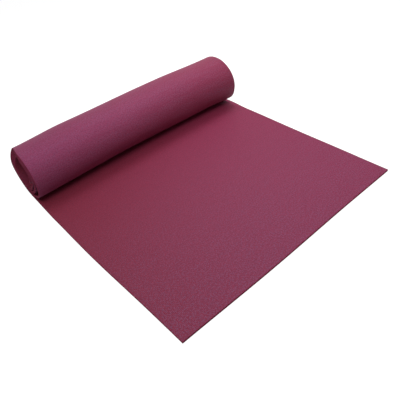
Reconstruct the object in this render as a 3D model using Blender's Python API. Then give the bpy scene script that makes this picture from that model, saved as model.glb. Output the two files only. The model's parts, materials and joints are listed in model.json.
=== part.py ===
"""Yoga mat, laid out at one end and still rolled up at the other.

The mat is one long foam sheet: a foam grip face, a woven scrim and a foam base, bonded together. Its free
end lies flat on the floor. The rest is wound into a loose roll that sits on the laid stretch: from the line
where the sheet leaves the floor it goes up the back of the roll, over the top, down the front and inwards,
so the base is the outside of every turn and the grip face is its inside.

A sheet bends anywhere. Here the laid stretch bends at evenly spaced lines: each line has a round tongue on
one side and a round groove on the other, both about an axis at the middle of the thickness.

Frame: X along the roll, Y from the free edge towards the roll, Z up, the floor at zero, the origin under
the middle of the whole mat. All sizes are in metres.
"""

import math

import bpy
import numpy as np

# Driving dimensions of the sheet
MAT_WIDTH = 0.610
MAT_LENGTH = 1.830
FOAM_THICKNESS = 0.0020
SCRIM_THICKNESS = 0.0004
BOND_GAP = 0.0003

# Driving dimensions of the roll
LAID_LENGTH = 0.548
CORE_RADIUS = 0.0403
TURN_GAP = 0.0012
FRONT_SLACK = 0.0028
WEDGE_GAP = 0.0070
OVAL_SHARE = 0.018

# Driving dimensions of the bend lines
BEND_LINES = 4
BEND_TO_ROLL = 0.080
BEND_CLEARANCE = 0.0003

# How the turns tuck in and part, as angles about the roll from its underside, up the back and over
FULL_TURN = 2 * math.pi
TUCK_POWER = 3
SLACK_START = math.radians(90)
SLACK_POWER = 1.5
WEDGE_START = math.radians(245)

# How finely round shapes are divided
STEPS_PER_TURN = 48
ARC_STEPS = 4
SHORTEST_STEP_SHARE = 0.3

# Sizes that follow
MAT_THICKNESS = 2 * (FOAM_THICKNESS + BOND_GAP) + SCRIM_THICKNESS
HALF_THICKNESS = MAT_THICKNESS / 2
HALF_SCRIM = SCRIM_THICKNESS / 2
WOUND_LENGTH = MAT_LENGTH - LAID_LENGTH
TURN_PITCH = MAT_THICKNESS + TURN_GAP
MEAN_PITCH = TURN_PITCH + FRONT_SLACK * (1 - SLACK_START / FULL_TURN) / 2
ROLL_RADIUS = math.sqrt(CORE_RADIUS**2 + WOUND_LENGTH * MEAN_PITCH / math.pi)
ROLL_HALF_DEPTH = ROLL_RADIUS * (1 + OVAL_SHARE)
ROLL_HALF_HEIGHT = ROLL_RADIUS * (1 - OVAL_SHARE)
SECTION_LENGTH = (LAID_LENGTH - ROLL_HALF_DEPTH - BEND_TO_ROLL) / BEND_LINES

# Each layer's lowest and highest height from the middle of the thickness
LAYERS = {
    "base_foam": (-HALF_THICKNESS, -HALF_SCRIM - BOND_GAP),
    "scrim": (-HALF_SCRIM, HALF_SCRIM),
    "grip_foam": (HALF_SCRIM + BOND_GAP, HALF_THICKNESS),
}

# Each layer's colour and roughness
FINISHES = {
    "base_foam": ((0.190, 0.042, 0.083, 1.0), 0.80),
    "scrim": ((0.700, 0.660, 0.620, 1.0), 0.90),
    "grip_foam": ((0.205, 0.047, 0.095, 1.0), 0.75),
}


def swell(angle, start, power=1):
    """0 up to the start angle, then up to 1 and back to 0 at the full turn, later with a higher power."""
    share = np.clip((angle - start) / (FULL_TURN - start), 0, 1)
    return np.sin(math.pi * share**power) ** 2


def roll_path():
    """Middle of the sheet round the roll, from the line where it leaves the floor, as (along, height).

    At angle a the path is at half_depth * sin a along and half_height * (1 - cos a) up, drawn in by one
    pitch a turn, most of it where the turn tucks under at the front. Every turn inside the outermost also
    parts from the one round it at the front, by the slack, and all of them together part from the outermost
    low down at the front, by the wedge.
    """
    turns = 1 + int(WOUND_LENGTH / (math.pi * (ROLL_RADIUS + CORE_RADIUS - TURN_PITCH)))
    steps = np.arange((turns + 1) * STEPS_PER_TURN)
    angle = steps * FULL_TURN / STEPS_PER_TURN
    inside = steps // STEPS_PER_TURN
    around = angle - inside * FULL_TURN

    tuck = TURN_PITCH * (inside + (around / FULL_TURN) ** TUCK_POWER)
    slack = FRONT_SLACK * inside * swell(around, SLACK_START, SLACK_POWER)
    wedge = WEDGE_GAP * np.minimum(inside, 1) * swell(around, WEDGE_START)
    drawn_in = HALF_THICKNESS + tuck + slack + wedge

    along = (ROLL_HALF_DEPTH - drawn_in) * np.sin(angle)
    height = ROLL_HALF_HEIGHT - (ROLL_HALF_HEIGHT - drawn_in) * np.cos(angle) - HALF_THICKNESS
    return cut_to_length(np.stack([along, height], axis=1), WOUND_LENGTH)


def cut_to_length(path, length):
    """The path cut off at a length along it, with no very short last step."""
    stretch = np.linalg.norm(np.diff(path, axis=0), axis=1)
    reached = np.concatenate([[0], np.cumsum(stretch)])
    last = int(np.searchsorted(reached, length))
    share = (length - reached[last - 1]) / stretch[last - 1]
    end = path[last - 1] + share * (path[last] - path[last - 1])
    kept = last if share > SHORTEST_STEP_SHARE else last - 1
    return np.vstack([path[:kept], end])


def offset(path, height):
    """The path moved to its upper side by a height, with every straight step kept parallel."""
    step = np.diff(path, axis=0)
    step /= np.linalg.norm(step, axis=1)[:, None]
    normal = np.stack([-step[:, 1], step[:, 0]], axis=1)
    before = np.vstack([normal[:1], normal])
    after = np.vstack([normal, normal[-1:]])
    miter = (before + after) / (1 + np.sum(before * after, axis=1))[:, None]
    return path + height * miter


def round_end(start, low, high, radius):
    """Points of a round end about a bend line, from the low to the high side of a layer."""
    first = math.asin(max(low / radius, -1))
    final = math.asin(min(high / radius, 1))
    angles = np.linspace(first, final, ARC_STEPS + 1)
    return start + radius * np.stack([np.cos(angles), np.sin(angles)], axis=1)


def layer_outline(path, low, high, groove, tongue):
    """Closed outline of one layer along a path that starts, and may end, at a bend line."""
    under = offset(path, low)
    over = offset(path, high)[::-1]
    if tongue:
        tip = round_end(path[-1], low, high, HALF_THICKNESS)
        under, over = under[:-1], over[1:]
    else:
        tip = np.empty((0, 2))
    if groove:
        notch = round_end(path[0], low, high, HALF_THICKNESS + BEND_CLEARANCE)[::-1]
        under, over = under[1:], over[:-1]
    else:
        notch = np.empty((0, 2))
    return np.vstack([under, tip, over, notch])


def layer_material(layer):
    """A plain material with this layer's colour and roughness."""
    colour, roughness = FINISHES[layer]
    material = bpy.data.materials.new(layer)
    material.use_nodes = True
    shader = material.node_tree.nodes["Principled BSDF"]
    shader.inputs["Base Color"].default_value = colour
    shader.inputs["Roughness"].default_value = roughness
    shader.inputs["Metallic"].default_value = 0
    material.diffuse_color = colour
    return material


def add_layer(name, outline, material, parent, collection):
    """One layer as a flat outline, drawn across the mat's width, standing on its parent's line."""
    curve = bpy.data.curves.new(name, "CURVE")
    curve.dimensions = "2D"
    curve.fill_mode = "BOTH"
    curve.extrude = MAT_WIDTH / 2
    spline = curve.splines.new("POLY")
    spline.points.add(len(outline) - 1)
    for point, (along, height) in zip(spline.points, outline):
        point.co = (along, height, 0, 1)
    spline.use_cyclic_u = True
    curve.materials.append(material)
    layer = bpy.data.objects.new(name, curve)
    layer.rotation_euler = (math.pi / 2, 0, math.pi / 2)
    layer.parent = parent
    collection.objects.link(layer)


def add_line(name, along, parent, collection):
    """An empty at the middle of the thickness, on a line across the mat, placed from its parent's line."""
    line = bpy.data.objects.new(name, None)
    line.empty_display_size = SECTION_LENGTH / 2
    line.location = (0, along, 0) if parent else (0, along, HALF_THICKNESS)
    line.parent = parent
    collection.objects.link(line)
    return line


def add_stretch(name, path, groove, tongue, materials, parent, collection):
    """A stretch of the mat along a path, in its three layers."""
    for layer, (low, high) in LAYERS.items():
        outline = layer_outline(path, low, high, groove, tongue)
        add_layer(f"{name}_{layer}", outline, materials[layer], parent, collection)


def build():
    """Builds the rolled stretch, then each laid section outwards from it to the free end."""
    for item in list(bpy.data.objects):
        bpy.data.objects.remove(item, do_unlink=True)
    collection = bpy.data.collections.new("yoga_mat")
    bpy.context.scene.collection.children.link(collection)
    materials = {layer: layer_material(layer) for layer in LAYERS}

    roll = roll_path()
    back = offset(roll, -HALF_THICKNESS)[:, 0].max()
    roll_line = add_line("roll_line", (LAID_LENGTH - back) / 2, None, collection)
    to_last_bend = LAID_LENGTH - BEND_LINES * SECTION_LENGTH
    rolled_path = np.vstack([[-to_last_bend, 0], roll])
    add_stretch("rolled", rolled_path, True, False, materials, roll_line, collection)

    section_path = np.array([[-SECTION_LENGTH, 0], [0, 0]])
    line, away = roll_line, to_last_bend
    for number in range(BEND_LINES, 0, -1):
        line = add_line(f"bend_line_{number}", -away, line, collection)
        away = SECTION_LENGTH
        inner = number > 1
        add_stretch(f"section_{number}", section_path, inner, True, materials, line, collection)


build()
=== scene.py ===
"""Looks of a foam yoga mat, laid out at one end and still rolled up at the other.

The mat is one sheet in three bonded layers: a foam grip face, a woven net and a foam base. Each layer is
made here as closed slabs that follow the middle of the sheet, from the free edge along the floor and on
round the roll. A point of a slab comes from two numbers, how far along the sheet and how far across it lies.

A laid slab holds one bend line and ends halfway between two, where the sheet stays flat. The wound slab is
the
rest of the sheet: it starts halfway between the last bend line and the roll, and goes on round the roll.

Frame: X across the mat and along the roll, Y from the free edge towards the roll, Z up, in metres.
"""

import json
import math

import bpy
import numpy as np
from mathutils import Matrix, Vector


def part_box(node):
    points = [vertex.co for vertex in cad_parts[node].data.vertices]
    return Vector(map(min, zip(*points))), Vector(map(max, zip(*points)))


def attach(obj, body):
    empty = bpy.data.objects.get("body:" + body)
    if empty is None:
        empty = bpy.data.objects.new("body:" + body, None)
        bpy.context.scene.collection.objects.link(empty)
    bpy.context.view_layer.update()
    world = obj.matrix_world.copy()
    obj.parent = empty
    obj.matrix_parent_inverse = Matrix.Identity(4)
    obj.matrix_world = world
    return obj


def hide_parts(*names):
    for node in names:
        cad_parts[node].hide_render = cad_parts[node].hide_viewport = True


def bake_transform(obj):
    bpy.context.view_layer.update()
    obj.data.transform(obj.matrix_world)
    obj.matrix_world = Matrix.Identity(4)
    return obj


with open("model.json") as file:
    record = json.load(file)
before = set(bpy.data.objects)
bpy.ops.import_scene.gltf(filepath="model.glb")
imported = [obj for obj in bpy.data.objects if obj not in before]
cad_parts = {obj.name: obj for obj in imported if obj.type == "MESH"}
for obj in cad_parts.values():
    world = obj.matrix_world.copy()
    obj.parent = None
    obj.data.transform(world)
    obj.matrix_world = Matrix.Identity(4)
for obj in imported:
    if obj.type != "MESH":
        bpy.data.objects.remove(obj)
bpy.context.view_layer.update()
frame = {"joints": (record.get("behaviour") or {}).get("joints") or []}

# Sizes of the sheet, from the frame
SHEET_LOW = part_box("section_4_base_foam")[0]
SHEET_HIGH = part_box("section_4_grip_foam")[1]
SCRIM_LOW, SCRIM_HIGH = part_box("section_4_scrim")
HALF_WIDTH = SHEET_HIGH.x
HALF_THICKNESS = (SHEET_HIGH.z - SHEET_LOW.z) / 2
HALF_SCRIM = (SCRIM_HIGH.z - SCRIM_LOW.z) / 2
FREE_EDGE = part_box("section_1_grip_foam")[0].y
BEND_LINES = sorted(joint["pos_m"][1] for joint in frame["joints"])

# Sizes of the sheet and its roll that the solids were made from
MAT_LENGTH = 1.830
LAID_LENGTH = 0.548
CORE_RADIUS = 0.0403
TURN_GAP = 0.0012
FRONT_SLACK = 0.0028
WEDGE_GAP = 0.0070
OVAL_SHARE = 0.018

# How the turns tuck in and part, as angles about the roll from its underside, up the back and over
FULL_TURN = 2 * math.pi
TUCK_POWER = 3
SLACK_START = math.radians(90)
SLACK_POWER = 1.5

# The wedge of air low at the roll's front, wider and softer than in the solids
WEDGE_START = math.radians(215)
WEDGE_POWER = 1.6

# Sizes that follow
WOUND_LENGTH = MAT_LENGTH - LAID_LENGTH
TURN_PITCH = 2 * HALF_THICKNESS + TURN_GAP
MEAN_PITCH = TURN_PITCH + FRONT_SLACK * (1 - SLACK_START / FULL_TURN) / 2
ROLL_RADIUS = math.sqrt(CORE_RADIUS**2 + WOUND_LENGTH * MEAN_PITCH / math.pi)
ROLL_HALF_DEPTH = ROLL_RADIUS * (1 + OVAL_SHARE)
ROLL_HALF_HEIGHT = ROLL_RADIUS * (1 - OVAL_SHARE)
ROLL_LINE = FREE_EDGE + LAID_LENGTH
ROLL_FRONT = LAID_LENGTH - ROLL_HALF_DEPTH

# How softly the sheet ends and bends
EDGE_ROUND = 0.0006
SCRIM_INSET = 0.0006
BEND_ZONE = 0.024

# Its slight waves: how high they are, and each one's length along or round, length across and turn
LAID_WAVE = 0.0005
LAID_WAVES = ((0.41, 0.53, 0.6), (0.23, -0.37, 2.9))
WAVES_FADE = 0.090
WOUND_WAVE = 0.0006
WOUND_WAVES = ((FULL_TURN, 0.44, 1.7), (FULL_TURN / 2, -0.29, 0.4))

# How far inwards the roll and its ends give, about which angle, how far round and over how much width
WHOLE_SWELL = (-0.0014, math.radians(150), math.radians(100))
LEFT_SAG = (0.0050, math.radians(150), math.radians(85), 0.13)
RIGHT_SAG = (0.0055, math.radians(168), math.radians(75), 0.19)
RIGHT_BULGE = (-0.0052, math.radians(272), math.radians(60), 0.19)
RIGHT_CORNER = (-0.0042, math.radians(308), math.radians(34), 0.08)

# How far the front tucks in above the floor: about which angle, at the ends, and further about the middle
FRONT_TUCK = (math.radians(312), math.radians(48))
FRONT_TUCK_ENDS = 0.0006
FRONT_TUCK_MIDDLE = (0.0040, -0.05, 0.25)

# How far each further turn inside is pressed out at the back and lies loose at the front
BACK_PRESS = (-0.0010, math.radians(140), math.radians(120))
LOW_SLACK = (0.0028, math.radians(322), math.radians(80))

# How far the roll's ends are drawn in along X, and how far its turns creep out to the left
LEFT_DRAW = 0.0036
RIGHT_DRAW = -0.0003
DRAW_START = 0.430
DRAW_END = 0.580
TOP_DRAW = (0.0078, math.radians(140), math.radians(60))
TURNS_CREEP = -0.0003

# How far the laid stretch's sides bow, spread and draw in, about which distance along and how far from it
SIDE_BOW = (-0.0016, 0.27, 0.19)
SIDE_SPREAD = (0.0008, 0.28, 0.28)
RIGHT_SPREAD = (0.0026, 0.48, 0.38)
RIGHT_FOOT = (0.0040, 0.505, 0.075)
RIGHT_FOOT_POWER = 3
FREE_DRAW = 0.0010
FREE_DRAW_FADE = 0.300

# How far the free edge is moved back, and bows out about which place across and how far from it
FREE_BACK = 0.0002
FREE_BOW = (-0.0022, -0.08, 0.26)
FREE_BOW_FADE = 0.150

# How finely the slabs are divided, and from which angle an edge of theirs is shaded sharp
LINE_STEP = math.radians(0.5)
ACROSS_STEP = 0.010
LAID_STEP = 0.0025
WOUND_STEP = 0.0033
EDGE_STEPS = 4
SHARP_ANGLE = math.radians(50)

# Each layer's lowest and highest height from the middle of the sheet, and how far its edges are set in
LAYERS = {
    "base_foam": (-HALF_THICKNESS, -HALF_SCRIM, 0),
    "scrim": (-HALF_SCRIM, HALF_SCRIM, SCRIM_INSET),
    "grip_foam": (HALF_SCRIM, HALF_THICKNESS, 0),
}


def smooth(value, start, end):
    """0 before the start, 1 after the end, and a smooth step between them."""
    share = np.clip((value - start) / (end - start), 0, 1)
    return share * share * (3 - 2 * share)


def swell(angle, start, power=1):
    """0 up to the start angle, then up to 1 and back to 0 at the full turn, later with a higher power."""
    share = np.clip((angle - start) / (FULL_TURN - start), 0, 1)
    return np.sin(math.pi * share**power) ** 2


def hump(value, middle, reach):
    """1 at the middle, falling to 0 at the reach on both sides, as the square of a cosine."""
    return np.cos(math.pi / 2 * np.clip((value - middle) / reach, -1, 1)) ** 2


def roll_line():
    """Middle of the sheet round the roll, as winding angles and (y, z) places, past the wound length.

    At angle a the line is at half_depth * sin a from the line where the sheet leaves the floor and at
    half_height * (1 - cos a) up, drawn in by one pitch a turn, most of it where the turn tucks under at the
    front. The inner turns part from one another at the front by the slack, and from the outermost by the
    wedge.
    """
    turns = 1 + int(WOUND_LENGTH / (math.pi * (ROLL_RADIUS + CORE_RADIUS - TURN_PITCH)))
    angle = np.arange(0, (turns + 1) * FULL_TURN, LINE_STEP)
    inside = np.floor(angle / FULL_TURN)
    around = angle - inside * FULL_TURN
    tuck = TURN_PITCH * (inside + (around / FULL_TURN) ** TUCK_POWER)
    slack = FRONT_SLACK * inside * swell(around, SLACK_START, SLACK_POWER)
    wedge = WEDGE_GAP * np.minimum(inside, 1) * swell(around, WEDGE_START, WEDGE_POWER)
    drawn_in = HALF_THICKNESS + tuck + slack + wedge
    depth = ROLL_LINE + (ROLL_HALF_DEPTH - drawn_in) * np.sin(angle)
    height = ROLL_HALF_HEIGHT - (ROLL_HALF_HEIGHT - drawn_in) * np.cos(angle)
    return angle, np.stack([depth, height], axis=1)


def sheet_line():
    """The whole middle line: distances along it from the free edge, places, upper sides and winding angles.

    The upper side is the line's direction turned a quarter turn, so it is straight up on the floor and
    points to the inside of the roll further on.
    """
    angle, place = roll_line()
    direction = np.gradient(place, axis=0)
    direction /= np.linalg.norm(direction, axis=1)[:, None]
    side = np.stack([-direction[:, 1], direction[:, 0]], axis=1)
    side[0] = (0, 1)
    reached = np.concatenate([[0], np.cumsum(np.linalg.norm(np.diff(place, axis=0), axis=1))])
    along = np.concatenate([[0], LAID_LENGTH + reached])
    place = np.vstack([[FREE_EDGE, HALF_THICKNESS], place])
    side = np.vstack([[0, 1], side])
    return along, place, side, np.concatenate([[0], angle])


LINE_ALONG, LINE_PLACE, LINE_SIDE, LINE_ANGLE = sheet_line()
LAST_ANGLE = float(np.interp(MAT_LENGTH, LINE_ALONG, LINE_ANGLE))


def on_line(along):
    """Place, upper side and winding angle at distances along the sheet, read between the line's points."""
    place = np.stack([np.interp(along, LINE_ALONG, values) for values in LINE_PLACE.T], axis=-1)
    side = np.stack([np.interp(along, LINE_ALONG, values) for values in LINE_SIDE.T], axis=-1)
    side /= np.linalg.norm(side, axis=-1)[..., None]
    return place, side, np.interp(along, LINE_ALONG, LINE_ANGLE)


def wave(across, along, long_wave, cross_wave, turn):
    """A slanting sine wave over the sheet, from 0 to 1, by its length along the sheet and across it."""
    return (1 + np.sin(FULL_TURN * (across / cross_wave + along / long_wave) + turn)) / 2


def about(angle, middle, reach):
    """A hump in every turn: 1 at its middle angle, falling to 0 at the reach on both sides."""
    return hump((angle - middle + math.pi) % FULL_TURN, math.pi, reach)


def give(across, angle, end, amount, middle, reach, width):
    """How far every turn moves inwards near the roll's left (-1) or right (1) end.

    It is an amount times a hump about an angle of the turn, times a smooth step that is 0 up to the width
    from the end and 1 at the end.
    """
    return amount * about(angle, middle, reach) * smooth(end * across, HALF_WIDTH - width, HALF_WIDTH)


def lie(across, along, angle):
    """How far the sheet stands off its middle line, to its upper side.

    On the floor two slanting waves lift it, and the roll presses them flat. Round the roll two more, a whole
    number to the turn so that every turn follows the one outside it, push it in or out, and they fade
    towards the underside of each turn. Near its ends the roll also sags at the top, and at the right it
    bulges at the front. It tucks in low at the front, and its inner turns, each more than the one round it,
    are pressed out at the back and lie loose low at the front. All but the waves are amounts times humps
    about an angle of the turn.
    """
    laid = sum(wave(across, along, *shape) for shape in LAID_WAVES) / len(LAID_WAVES)
    laid *= 1 - smooth(along, ROLL_FRONT - WAVES_FADE, ROLL_FRONT)
    wound = sum(wave(across, angle, *shape) for shape in WOUND_WAVES) - len(WOUND_WAVES) / 2
    wound *= np.sin(angle / 2) ** 2
    ends = give(across, angle, -1, *LEFT_SAG) + give(across, angle, 1, *RIGHT_SAG)
    ends += give(across, angle, 1, *RIGHT_BULGE) + give(across, angle, 1, *RIGHT_CORNER)
    ends += WHOLE_SWELL[0] * about(angle, *WHOLE_SWELL[1:])
    amount, middle, reach = FRONT_TUCK_MIDDLE
    tuck = (FRONT_TUCK_ENDS + amount * hump(across, middle, reach)) * about(angle, *FRONT_TUCK)
    pressed = BACK_PRESS[0] * about(angle, *BACK_PRESS[1:])
    loose = LOW_SLACK[0] * about(angle, *LOW_SLACK[1:])
    further = np.clip(angle / FULL_TURN - 1, 0, None)
    return LAID_WAVE * laid + WOUND_WAVE * wound + ends + tuck + further * (pressed + loose)


def sideways(across, along, angle):
    """How far the sheet moves along X.

    The roll's ends are drawn in, the left one more over the top, and its inner turns creep out to the left.
    The laid stretch bows to the left and spreads a little between the free edge and the roll, narrows to
    the free edge, and spreads to the right near the foot of the roll. Each is an amount times a smooth step
    or a hump along the sheet or round it, and its share from the left side to the right one.
    """
    share = (across + HALF_WIDTH) / (2 * HALF_WIDTH)
    drawn = (LEFT_DRAW + share * (RIGHT_DRAW - LEFT_DRAW)) * smooth(along, DRAW_START, DRAW_END)
    drawn += TOP_DRAW[0] * (1 - share) * about(angle, *TOP_DRAW[1:])
    laid = (1 - 2 * share) * FREE_DRAW * (1 - smooth(along, 0, FREE_DRAW_FADE))
    laid += SIDE_BOW[0] * hump(along, *SIDE_BOW[1:])
    laid += (2 * share - 1) * SIDE_SPREAD[0] * hump(along, *SIDE_SPREAD[1:])
    laid += share * RIGHT_SPREAD[0] * hump(along, *RIGHT_SPREAD[1:])
    laid += share**RIGHT_FOOT_POWER * RIGHT_FOOT[0] * hump(along, *RIGHT_FOOT[1:])
    return drawn + laid + TURNS_CREEP * angle / LAST_ANGLE


def endways(across, along):
    """How far the sheet moves along Y: the free edge bows out by a hump, which fades along the sheet."""
    bow = FREE_BACK + FREE_BOW[0] * hump(across, *FREE_BOW[1:])
    return bow * (1 - smooth(along, 0, FREE_BOW_FADE))


def to_cut_edge(across, along):
    """Distance from the nearest of the sheet's four cut edges."""
    return np.minimum(np.minimum(along, MAT_LENGTH - along), HALF_WIDTH - np.abs(across))


def rounding(to_edge):
    """How far a face falls away at a distance from a cut edge: a quarter circle that meets the cut face."""
    inside = np.clip(EDGE_ROUND - to_edge, 0, EDGE_ROUND)
    return EDGE_ROUND - np.sqrt(EDGE_ROUND**2 - inside**2)


def spaced(start, end, step, start_cut, end_cut):
    """Distances from start to end, about a step apart, and at equal angles over a cut edge's rounding."""
    near = EDGE_ROUND * (1 - np.cos(np.linspace(0, math.pi / 2, EDGE_STEPS + 1)))
    first = start + (near[:-1] if start_cut else near[:0])
    last = end - (near[-2::-1] if end_cut else near[:0])
    low = start + (EDGE_ROUND if start_cut else 0)
    high = end - (EDGE_ROUND if end_cut else 0)
    return np.concatenate([first, np.linspace(low, high, 1 + round((high - low) / step)), last])


def layer_faces(layer, start, end, step):
    """The under and upper face of a layer from start to end along the sheet, and the same laid out flat.

    Each is a grid, its rows along the sheet and its columns across. A point is its place on the middle line,
    moved to the upper side by its height in the sheet and by how the sheet lies there, and then sideways and
    endways. The outer face of a foam falls away at the cut edges, and the scrim's edges are set in between
    the foams.
    """
    low, high, inset = LAYERS[layer]
    start_cut, end_cut = start == 0, end == MAT_LENGTH
    rows = spaced(start + inset * start_cut, end - inset * end_cut, step, start_cut, end_cut)
    columns = spaced(inset - HALF_WIDTH, HALF_WIDTH - inset, ACROSS_STEP, True, True)
    along, across = np.meshgrid(rows, columns, indexing="ij")
    place, side, angle = on_line(along)

    fall = rounding(to_cut_edge(across, along))
    faces, flat = [], []
    for level in (low, high):
        outer = abs(level) == HALF_THICKNESS
        height = level - np.sign(level) * fall * outer
        lifted = place + side * (height + lie(across, along, angle))[..., None]
        lifted[..., 0] += endways(across, along)
        moved = across + sideways(across, along, angle)
        faces.append(np.concatenate([moved[..., None], lifted], axis=-1))
        flat.append(np.stack([across, along, height], axis=-1))
    return faces, flat


def beside_cut(flat):
    """1 for each square of a grid whose middle lies on the rounding of a cut edge, and 0 for the others."""
    across, along = (flat[:-1, :-1, axis] / 2 + flat[1:, 1:, axis] / 2 for axis in (0, 1))
    return (to_cut_edge(across, along) < EDGE_ROUND).astype(int).ravel()


def slab(name, faces, flat):
    """A closed mesh between two faces of the same grid: the under one, the upper one and a rim round them.

    Every point keeps where it lies on the mat laid out flat, for the patterns of its finishes. The faces
    have the first finish, and the rim and the rounding beside it have the second.
    """
    rows, columns = faces[0].shape[:2]
    index = np.arange(rows * columns).reshape(rows, columns)
    corners = [index[:-1, :-1], index[:-1, 1:], index[1:, 1:], index[1:, :-1]]
    upper = np.stack(corners, axis=-1).reshape(-1, len(corners))
    under = upper[:, ::-1]
    border = np.concatenate([index[0, :-1], index[:-1, -1], index[-1, :0:-1], index[:0:-1, 0]])
    following = np.roll(border, -1)
    above = rows * columns
    rim = np.stack([border, following, following + above, border + above], axis=-1)
    quads = np.concatenate([under, upper + above, rim])

    mesh = bpy.data.meshes.new(name)
    points = np.concatenate([face.reshape(-1, 3) for face in faces])
    mesh.from_pydata(points.tolist(), [], quads.tolist())
    finish_numbers = [beside_cut(flat[0]), beside_cut(flat[1]), np.ones(len(rim), int)]
    mesh.polygons.foreach_set("material_index", np.concatenate(finish_numbers))
    mesh.shade_smooth()
    mesh.set_sharp_from_angle(angle=SHARP_ANGLE)
    laid_flat = mesh.attributes.new("laid_flat", "FLOAT_VECTOR", "POINT")
    laid_flat.data.foreach_set("vector", np.concatenate([part.reshape(-1, 3) for part in flat]).ravel())
    piece = bpy.data.objects.new(name, mesh)
    bpy.context.scene.collection.objects.link(piece)
    return piece


class Wire:
    """A value inside a finish. Sums, differences, products and powers of such values add their nodes."""

    def __init__(self, finish, socket):
        self.finish = finish
        self.socket = socket

    def __add__(self, other):
        return self.finish.maths("ADD", self, other)

    def __sub__(self, other):
        return self.finish.maths("SUBTRACT", self, other)

    def __rsub__(self, other):
        return self.finish.maths("SUBTRACT", other, self)

    def __mul__(self, other):
        return self.finish.maths("MULTIPLY", self, other)

    def __pow__(self, other):
        return self.finish.maths("POWER", self, other)

    def __rpow__(self, other):
        return self.finish.maths("POWER", other, self)

    def __abs__(self):
        return self.finish.maths("ABSOLUTE", self)

    __radd__ = __add__
    __rmul__ = __mul__


class Finish:
    """The nodes of a material or of the world, being made."""

    def __init__(self, owner):
        owner.use_nodes = True
        self.tree = owner.node_tree
        self.tree.nodes.clear()

    def node(self, kind, settings, inputs, output=0):
        """Adds a node: its settings first, then a number, a colour or a wire for each socket named."""
        node = self.tree.nodes.new("ShaderNode" + kind)
        for setting, value in settings.items():
            setattr(node, setting, value)
        for socket, value in inputs.items():
            if isinstance(value, Wire):
                self.tree.links.new(value.socket, node.inputs[socket])
            else:
                node.inputs[socket].default_value = value
        return Wire(self, node.outputs[output]) if len(node.outputs) else None

    def maths(self, operation, first, second=0.0):
        """One step of arithmetic on values."""
        return self.node("Math", {"operation": operation}, {0: first, 1: second})

    def mix(self, share, first, second):
        """Two colours mixed by a share. A Mix node's colours are its inputs 6 and 7 and its output 2."""
        settings = {"data_type": "RGBA", "clamp_factor": True}
        return self.node("Mix", settings, {0: share, 6: first, 7: second}, output=2)

    def scaled(self, vector, scale):
        """A place or a colour, with each of its parts scaled."""
        return self.node("VectorMath", {"operation": "MULTIPLY"}, {0: vector, 1: scale})

    def step(self, value, start, end):
        """0 before the start, 1 after the end, and a smooth step between them."""
        settings = {"interpolation_type": "SMOOTHSTEP"}
        return self.node("MapRange", settings, {"Value": value, "From Min": start, "From Max": end})

    def noise(self, place, size, detail=2.0, roughness=0.5):
        """Noise from 0 to 1 with features of about a size in metres."""
        inputs = {"Vector": place, "Scale": 1 / size, "Detail": detail, "Roughness": roughness}
        return self.node("TexNoise", {"noise_dimensions": "3D"}, inputs)

    def ridges(self, value, pitch):
        """Round ridges from 0 to 1, a pitch apart."""
        return abs(self.maths("SINE", value * (math.pi / pitch)))

    def laid_flat(self):
        """Where a point lies on the mat laid out flat: how far across, how far along and how high."""
        return self.node("Attribute", {"attribute_name": "laid_flat"}, {}, output="Vector")

    def across_and_along(self, place):
        """The first two parts of a place, as values."""
        across = self.node("SeparateXYZ", {}, {"Vector": place}, output="X")
        along = self.node("SeparateXYZ", {}, {"Vector": place}, output="Y")
        return across, along

    def bump(self, height):
        """The surface's direction over small heights in metres."""
        return self.node("Bump", {}, {"Strength": 1.0, "Distance": 1.0, "Height": height})

    def surface(self, shader):
        """Ends a material."""
        self.node("OutputMaterial", {}, {"Surface": shader})


# Colours of the foams at the mat's left and right sides, their change from side to side a painted sheen and
# shade, and of the rest
GRIP_COLOURS = ((0.217, 0.0222, 0.0365), (0.254, 0.0244, 0.0590))
BASE_COLOURS = ((0.252, 0.0418, 0.0930), (0.250, 0.0290, 0.0545))
# The pale colour of a painted sheen, laid over the foams in spots and streaks
PAINTED_SHEEN_COLOUR = (0.270, 0.190, 0.330)
CUT_COLOUR = (0.385, 0.047, 0.108)
THREAD_COLOUR = (0.700, 0.660, 0.620)

# Shine of the foams: its level, its tints, and how rough they are
SHINE_LEVEL = 0.40
GRIP_SHINE = (0.82, 0.38, 0.97, 1.0)
BASE_SHINE = (0.88, 0.31, 0.90, 1.0)
FOAM_ROUGHNESS = 0.60
MOTTLE_ROUGHNESS = 0.20
PAD_ROUGHNESS = 0.06

# Moulded pads of the foams, in wandering rows, over pebbles, and the painted shade between the pads
PAD_ACROSS = 0.0024
PAD_ALONG = 0.0024
PAD_DEPTH = 0.00016
PAD_FLATNESS = 0.6
PAD_SHADE = 0.08
WANDER_SIZE = 0.009
WANDER_REACH = 0.0016
PEBBLE_SIZE = 0.0011
PEBBLE_DEPTH = 0.00006
PEBBLE_SOFTNESS = 0.6

# Mottle and clouds of the foams
NOISE_MIDDLE = 0.5
MOTTLE_SIZE = 0.0030
MOTTLE_GRAIN = 0.6
CLOUD_SIZE = 0.110
CLOUD_SHADE = 0.03

# Painted sheen on the foams, in pale spots and streaks: its share far from the free end and at it, and how
# streaky it is
GRIP_PAINTED_SHEEN = (0.06, 0.27, 0.2)
BASE_PAINTED_SHEEN = (0.18, 0.18, 0.6)
SHEEN_CHANGE_LENGTH = 0.50
SPOT_SIZE = 0.0026
SPOT_DETAIL = 1.0
SPOT_EDGES = (0.36, 0.72)
STREAK_SIZE = 0.009
STREAK_DRAW = (0.13, 1.0, 1.0)
STREAK_EDGES = (0.34, 0.66)

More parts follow.
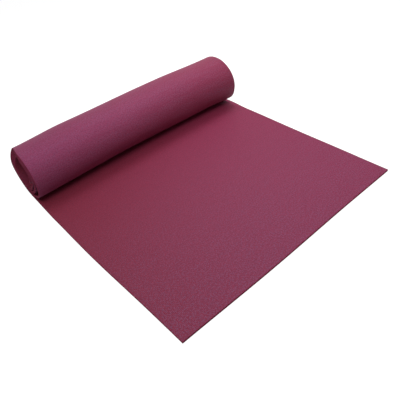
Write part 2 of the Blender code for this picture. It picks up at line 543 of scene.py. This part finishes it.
# Cells and blade marks of the cut faces, the tones as shares of their colour
CELL_SIZE = 0.0005
CELL_DEPTH = 0.0001
CELL_TONES = (1.25, 0.70)
BLADE_MARK_SIZE = 0.0020
BLADE_MARK_DRAW = (1.0, 1.0, 0.15)
BLADE_MARK_DEPTH = 0.0001
BLADE_MARK_TONE = 0.60
BLADE_MARK_SHARE = 0.5
BLADE_MARK_ROUGHNESS = 0.20
CUT_ROUGHNESS = 0.75
CUT_SHINE_LEVEL = 0.08

# Threads and fibres of the scrim, the tones as shares of their colour
THREAD_PITCH = 0.0024
THREAD_EDGES = (0.80, 0.93)
THREAD_DEPTH = 0.0001
THREAD_TONES = (0.75, 1.1)
FILLING_TONE = 0.8
FIBRE_SIZE = 0.0003
FIBRE_DRAW = (1.0, 0.2, 1.0)
FIBRE_ROUGHNESS = 0.20
SCRIM_ROUGHNESS = 0.70


def dimmed(colour, share=1.0):
    """A share of a colour, made opaque."""
    return tuple(share * part for part in colour) + (1.0,)


def foam_finish(name, colours, shine, painted_sheen):
    """Moulded foam: rows of small rounded pads over fine pebbles, mottled, its tone changing across the mat
    in a painted sheen and shade.

    The pads are ridges across the mat times ridges along it, to a power that flattens them, and noise makes
    their rows wander. A painted sheen lies over the foam as pale spots and streaks across the mat. Its share
    changes along the mat to another at the free end.
    """
    material = bpy.data.materials.new(name)
    finish = Finish(material)
    place = finish.laid_flat()
    across, along = finish.across_and_along(place)

    wander = finish.noise(place, WANDER_SIZE) * WANDER_REACH
    pads = finish.ridges(across + wander, PAD_ACROSS) * finish.ridges(along + wander, PAD_ALONG)
    pads = pads**PAD_FLATNESS
    inputs = {"Vector": place, "Scale": 1 / PEBBLE_SIZE, "Smoothness": PEBBLE_SOFTNESS}
    pebbles = finish.node("TexVoronoi", {"feature": "SMOOTH_F1"}, inputs, output="Distance")
    mottle = finish.noise(place, MOTTLE_SIZE, roughness=MOTTLE_GRAIN)
    cloud = finish.noise(place, CLOUD_SIZE)

    # The tone's change from the left side to the right is a painted sheen and shade.
    side = across * (0.5 / HALF_WIDTH) + 0.5
    colour = finish.mix(side, *(dimmed(part) for part in colours))
    # Mottle and clouds vary the tone at random, and the foam is painted darker between the pads as shade.
    shade = (mottle + (1 - NOISE_MIDDLE)) * (1 - (1 - pads) * PAD_SHADE) * (1 - cloud * CLOUD_SHADE)
    tone = finish.scaled(colour, finish.node("CombineXYZ", {}, {"X": shade, "Y": shade, "Z": shade}))

    # Painted sheen: pale spots and streaks over the tone, with its own share at the free end
    far_share, free_share, streakiness = painted_sheen
    spots = finish.step(finish.noise(place, SPOT_SIZE, SPOT_DETAIL), *SPOT_EDGES)
    streaks = finish.step(finish.noise(finish.scaled(place, STREAK_DRAW), STREAK_SIZE), *STREAK_EDGES)
    toward_free_end = finish.step(along, SHEEN_CHANGE_LENGTH, 0)
    share = toward_free_end * (free_share - far_share) + far_share
    share = share * spots * ((streaks - NOISE_MIDDLE) * streakiness + 1)
    tone = finish.mix(share, tone, dimmed(PAINTED_SHEEN_COLOUR))

    uneven = (mottle - NOISE_MIDDLE) * MOTTLE_ROUGHNESS
    inputs = {
        "Base Color": tone,
        "Roughness": FOAM_ROUGHNESS + uneven + (1 - pads) * PAD_ROUGHNESS,
        "Specular IOR Level": SHINE_LEVEL,
        "Specular Tint": shine,
        "Normal": finish.bump(pads * PAD_DEPTH - pebbles * PEBBLE_DEPTH),
    }
    finish.surface(finish.node("BsdfPrincipled", {}, inputs))
    return material


def cut_finish(name):
    """The foam's cut edge: dull, with small open cells and faint marks of the blade."""
    material = bpy.data.materials.new(name)
    finish = Finish(material)
    place = finish.laid_flat()
    inputs = {"Vector": place, "Scale": 1 / CELL_SIZE}
    cells = finish.node("TexVoronoi", {"feature": "F1"}, inputs, output="Distance")
    marks = finish.noise(finish.scaled(place, BLADE_MARK_DRAW), BLADE_MARK_SIZE)
    tone = finish.mix(cells, *(dimmed(CUT_COLOUR, share) for share in CELL_TONES))
    tone = finish.mix(marks * BLADE_MARK_SHARE, tone, dimmed(CUT_COLOUR, BLADE_MARK_TONE))
    inputs = {
        "Base Color": tone,
        "Roughness": marks * BLADE_MARK_ROUGHNESS + CUT_ROUGHNESS,
        "Specular IOR Level": CUT_SHINE_LEVEL,
        "Normal": finish.bump(marks * BLADE_MARK_DEPTH - cells * CELL_DEPTH),
    }
    finish.surface(finish.node("BsdfPrincipled", {}, inputs))
    return material


def scrim_finish(name):
    """A net of pale threads, where ridges across and along the mat are high, with foam in its openings."""
    material = bpy.data.materials.new(name)
    finish = Finish(material)
    place = finish.laid_flat()
    across, along = finish.across_and_along(place)
    warp = finish.ridges(across, THREAD_PITCH)
    weft = finish.ridges(along, THREAD_PITCH)
    threads = finish.step(finish.maths("MAXIMUM", warp, weft), *THREAD_EDGES)
    fibres = finish.noise(finish.scaled(place, FIBRE_DRAW), FIBRE_SIZE)
    thread_tone = finish.mix(fibres, *(dimmed(THREAD_COLOUR, share) for share in THREAD_TONES))
    inputs = {
        "Base Color": finish.mix(threads, dimmed(CUT_COLOUR, FILLING_TONE), thread_tone),
        "Roughness": fibres * FIBRE_ROUGHNESS + SCRIM_ROUGHNESS,
        "Normal": finish.bump(threads * THREAD_DEPTH),
    }
    finish.surface(finish.node("BsdfPrincipled", {}, inputs))
    return material


def make_finishes():
    """Each layer's two finishes: that of its faces and that of its cut edges."""
    cut_foam = cut_finish("cut_foam_finish")
    net = scrim_finish("scrim_finish")
    base_foam = foam_finish("base_foam_finish", BASE_COLOURS, BASE_SHINE, BASE_PAINTED_SHEEN)
    grip_foam = foam_finish("grip_foam_finish", GRIP_COLOURS, GRIP_SHINE, GRIP_PAINTED_SHEEN)
    return {"base_foam": (base_foam, cut_foam), "scrim": (net, net), "grip_foam": (grip_foam, cut_foam)}


def make_mat():
    """The three layers of every stretch, with their finishes.

    The laid stretches stay where they are made. The wound stretch rides with the roll.
    """
    finishes = make_finishes()
    lines = [line - FREE_EDGE for line in BEND_LINES]
    halfway = [(line + following) / 2 for line, following in zip(lines, lines[1:])]
    borders = [0, *halfway, (lines[-1] + ROLL_FRONT) / 2, MAT_LENGTH]
    count = len(lines)
    for number in range(1, count + 2):
        start, end = borders[number - 1], borders[number]
        laid = number <= count
        stretch, node = (f"laid_{number}", f"section_{number}") if laid else ("wound", "rolled")
        for layer, (face_finish, cut_edge_finish) in finishes.items():
            faces, flat = layer_faces(layer, start, end, LAID_STEP if laid else WOUND_STEP)
            piece = slab(f"{stretch}_{layer}", faces, flat)
            piece.data.materials.append(face_finish)
            piece.data.materials.append(cut_edge_finish)
            if laid:
                line = FREE_EDGE + lines[number - 1]
                zone_start = (0, line - BEND_ZONE / 2, HALF_THICKNESS)
                zone_end = (0, line + BEND_ZONE / 2, HALF_THICKNESS)
                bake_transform(piece)
            else:
                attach(piece, "rolled_stretch")
            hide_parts(f"{node}_{layer}")
            end - start


# The floor and the world, their tones as shares of white
WHITE = (1.0, 1.0, 1.0)
FLOOR_REACH = 5.0
FLOOR_DROP = 0.0003
FLOOR_PALE = 0.50
FLOOR_SHADED = 0.30
FLOOR_GLOW = 0.965
WORLD_FILL = 0.04

# Each lamp's turn round the mat from +Y towards +X and its power in watts, and where they all look
LAMPS = {
    "right_lamp": (math.radians(140), 3.5),
    "left_lamp": (math.radians(243), 3.7),
    "back_lamp": (math.radians(55), 5.9),
}
LAMP_AIM = (0.0, 0.05, 0.05)
LAMP_DISTANCE = 1.1
LAMP_HEIGHT = math.radians(58)
LAMP_SIZE = 0.50


def seen_directly(finish):
    """1 for what the camera sees, by itself or through gloss or glass, and 0 for light on its way."""
    camera = finish.node("LightPath", {}, {}, output="Is Camera Ray")
    gloss = finish.node("LightPath", {}, {}, output="Is Glossy Ray")
    glass = finish.node("LightPath", {}, {}, output="Is Transmission Ray")
    return finish.maths("MAXIMUM", camera, finish.maths("MAXIMUM", gloss, glass))


def make_floor():
    """A plain pale floor.

    The camera sees a glow and a matt tone in it, which are white together where no shadow falls. Light on
    its way meets a paler matt tone.
    """
    corners = [(-1, -1), (1, -1), (1, 1), (-1, 1)]
    places = [(x * FLOOR_REACH, y * FLOOR_REACH, -FLOOR_DROP) for x, y in corners]
    mesh = bpy.data.meshes.new("floor")
    mesh.from_pydata(places, [], [range(len(places))])
    floor = bpy.data.objects.new("floor", mesh)
    bpy.context.scene.collection.objects.link(floor)

    material = bpy.data.materials.new("floor_finish")
    finish = Finish(material)
    seen = seen_directly(finish)
    colour = finish.mix(seen, dimmed(WHITE, FLOOR_PALE), dimmed(WHITE, FLOOR_SHADED))
    matt = finish.node("BsdfDiffuse", {}, {"Color": colour})
    glow = finish.node("Emission", {}, {"Strength": seen * FLOOR_GLOW})
    finish.surface(finish.node("AddShader", {}, {0: matt, 1: glow}))
    mesh.materials.append(material)


def make_world():
    """White to the camera, and a soft even light on the mat."""
    world = bpy.data.worlds.new("studio")
    bpy.context.scene.world = world
    finish = Finish(world)
    strength = seen_directly(finish) * (1 - WORLD_FILL) + WORLD_FILL
    light = finish.node("Background", {}, {"Color": dimmed(WHITE), "Strength": strength})
    finish.node("OutputWorld", {}, {"Surface": light})


def make_lamp(name, turn, power):
    """A square lamp at a distance and a height from the mat, turned round it, that looks at the mat."""
    level = Vector((math.sin(turn), math.cos(turn), 0)) * math.cos(LAMP_HEIGHT)
    way = level + Vector((0, 0, math.sin(LAMP_HEIGHT)))
    light = bpy.data.lights.new(name, "AREA")
    light.size = LAMP_SIZE
    light.energy = power
    lamp = bpy.data.objects.new(name, light)
    lamp.location = Vector(LAMP_AIM) + way * LAMP_DISTANCE
    lamp.rotation_euler = (-way).to_track_quat("-Z", "Y").to_euler()
    bpy.context.scene.collection.objects.link(lamp)


# The camera
CAMERA_LENS = 40.287
CAMERA_FILM = 36.0
CAMERA_AIM = (-0.04568, -0.06425, 0.0)
CAMERA_DISTANCE = 0.98896
CAMERA_TURN = math.radians(37.5908)
CAMERA_DIP = math.radians(40.2754)
CAMERA_LEAN = math.radians(-6.9993)


def make_camera():
    """A camera at the photograph's angle: turned from +Y towards +X, dipped to the floor and leaning."""
    level = Vector((math.sin(CAMERA_TURN), math.cos(CAMERA_TURN), 0))
    look = level * math.cos(CAMERA_DIP) - Vector((0, 0, math.sin(CAMERA_DIP)))
    right = Vector((math.cos(CAMERA_TURN), -math.sin(CAMERA_TURN), 0))
    up = right.cross(look)
    leaned_right = right * math.cos(CAMERA_LEAN) + up * math.sin(CAMERA_LEAN)
    leaned_up = up * math.cos(CAMERA_LEAN) - right * math.sin(CAMERA_LEAN)
    data = bpy.data.cameras.new("camera")
    data.lens = CAMERA_LENS
    data.sensor_width = CAMERA_FILM
    camera = bpy.data.objects.new("camera", data)
    turn = Matrix((leaned_right, leaned_up, -look)).transposed()
    place = Vector(CAMERA_AIM) - look * CAMERA_DISTANCE
    camera.matrix_world = Matrix.Translation(place) @ turn.to_4x4()
    bpy.context.scene.collection.objects.link(camera)
    bpy.context.scene.camera = camera


make_camera()
make_mat()
make_floor()
make_world()
for lamp_name, (lamp_turn, lamp_power) in LAMPS.items():
    make_lamp(lamp_name, lamp_turn, lamp_power)
bpy.context.scene.view_settings.view_transform = "Standard"
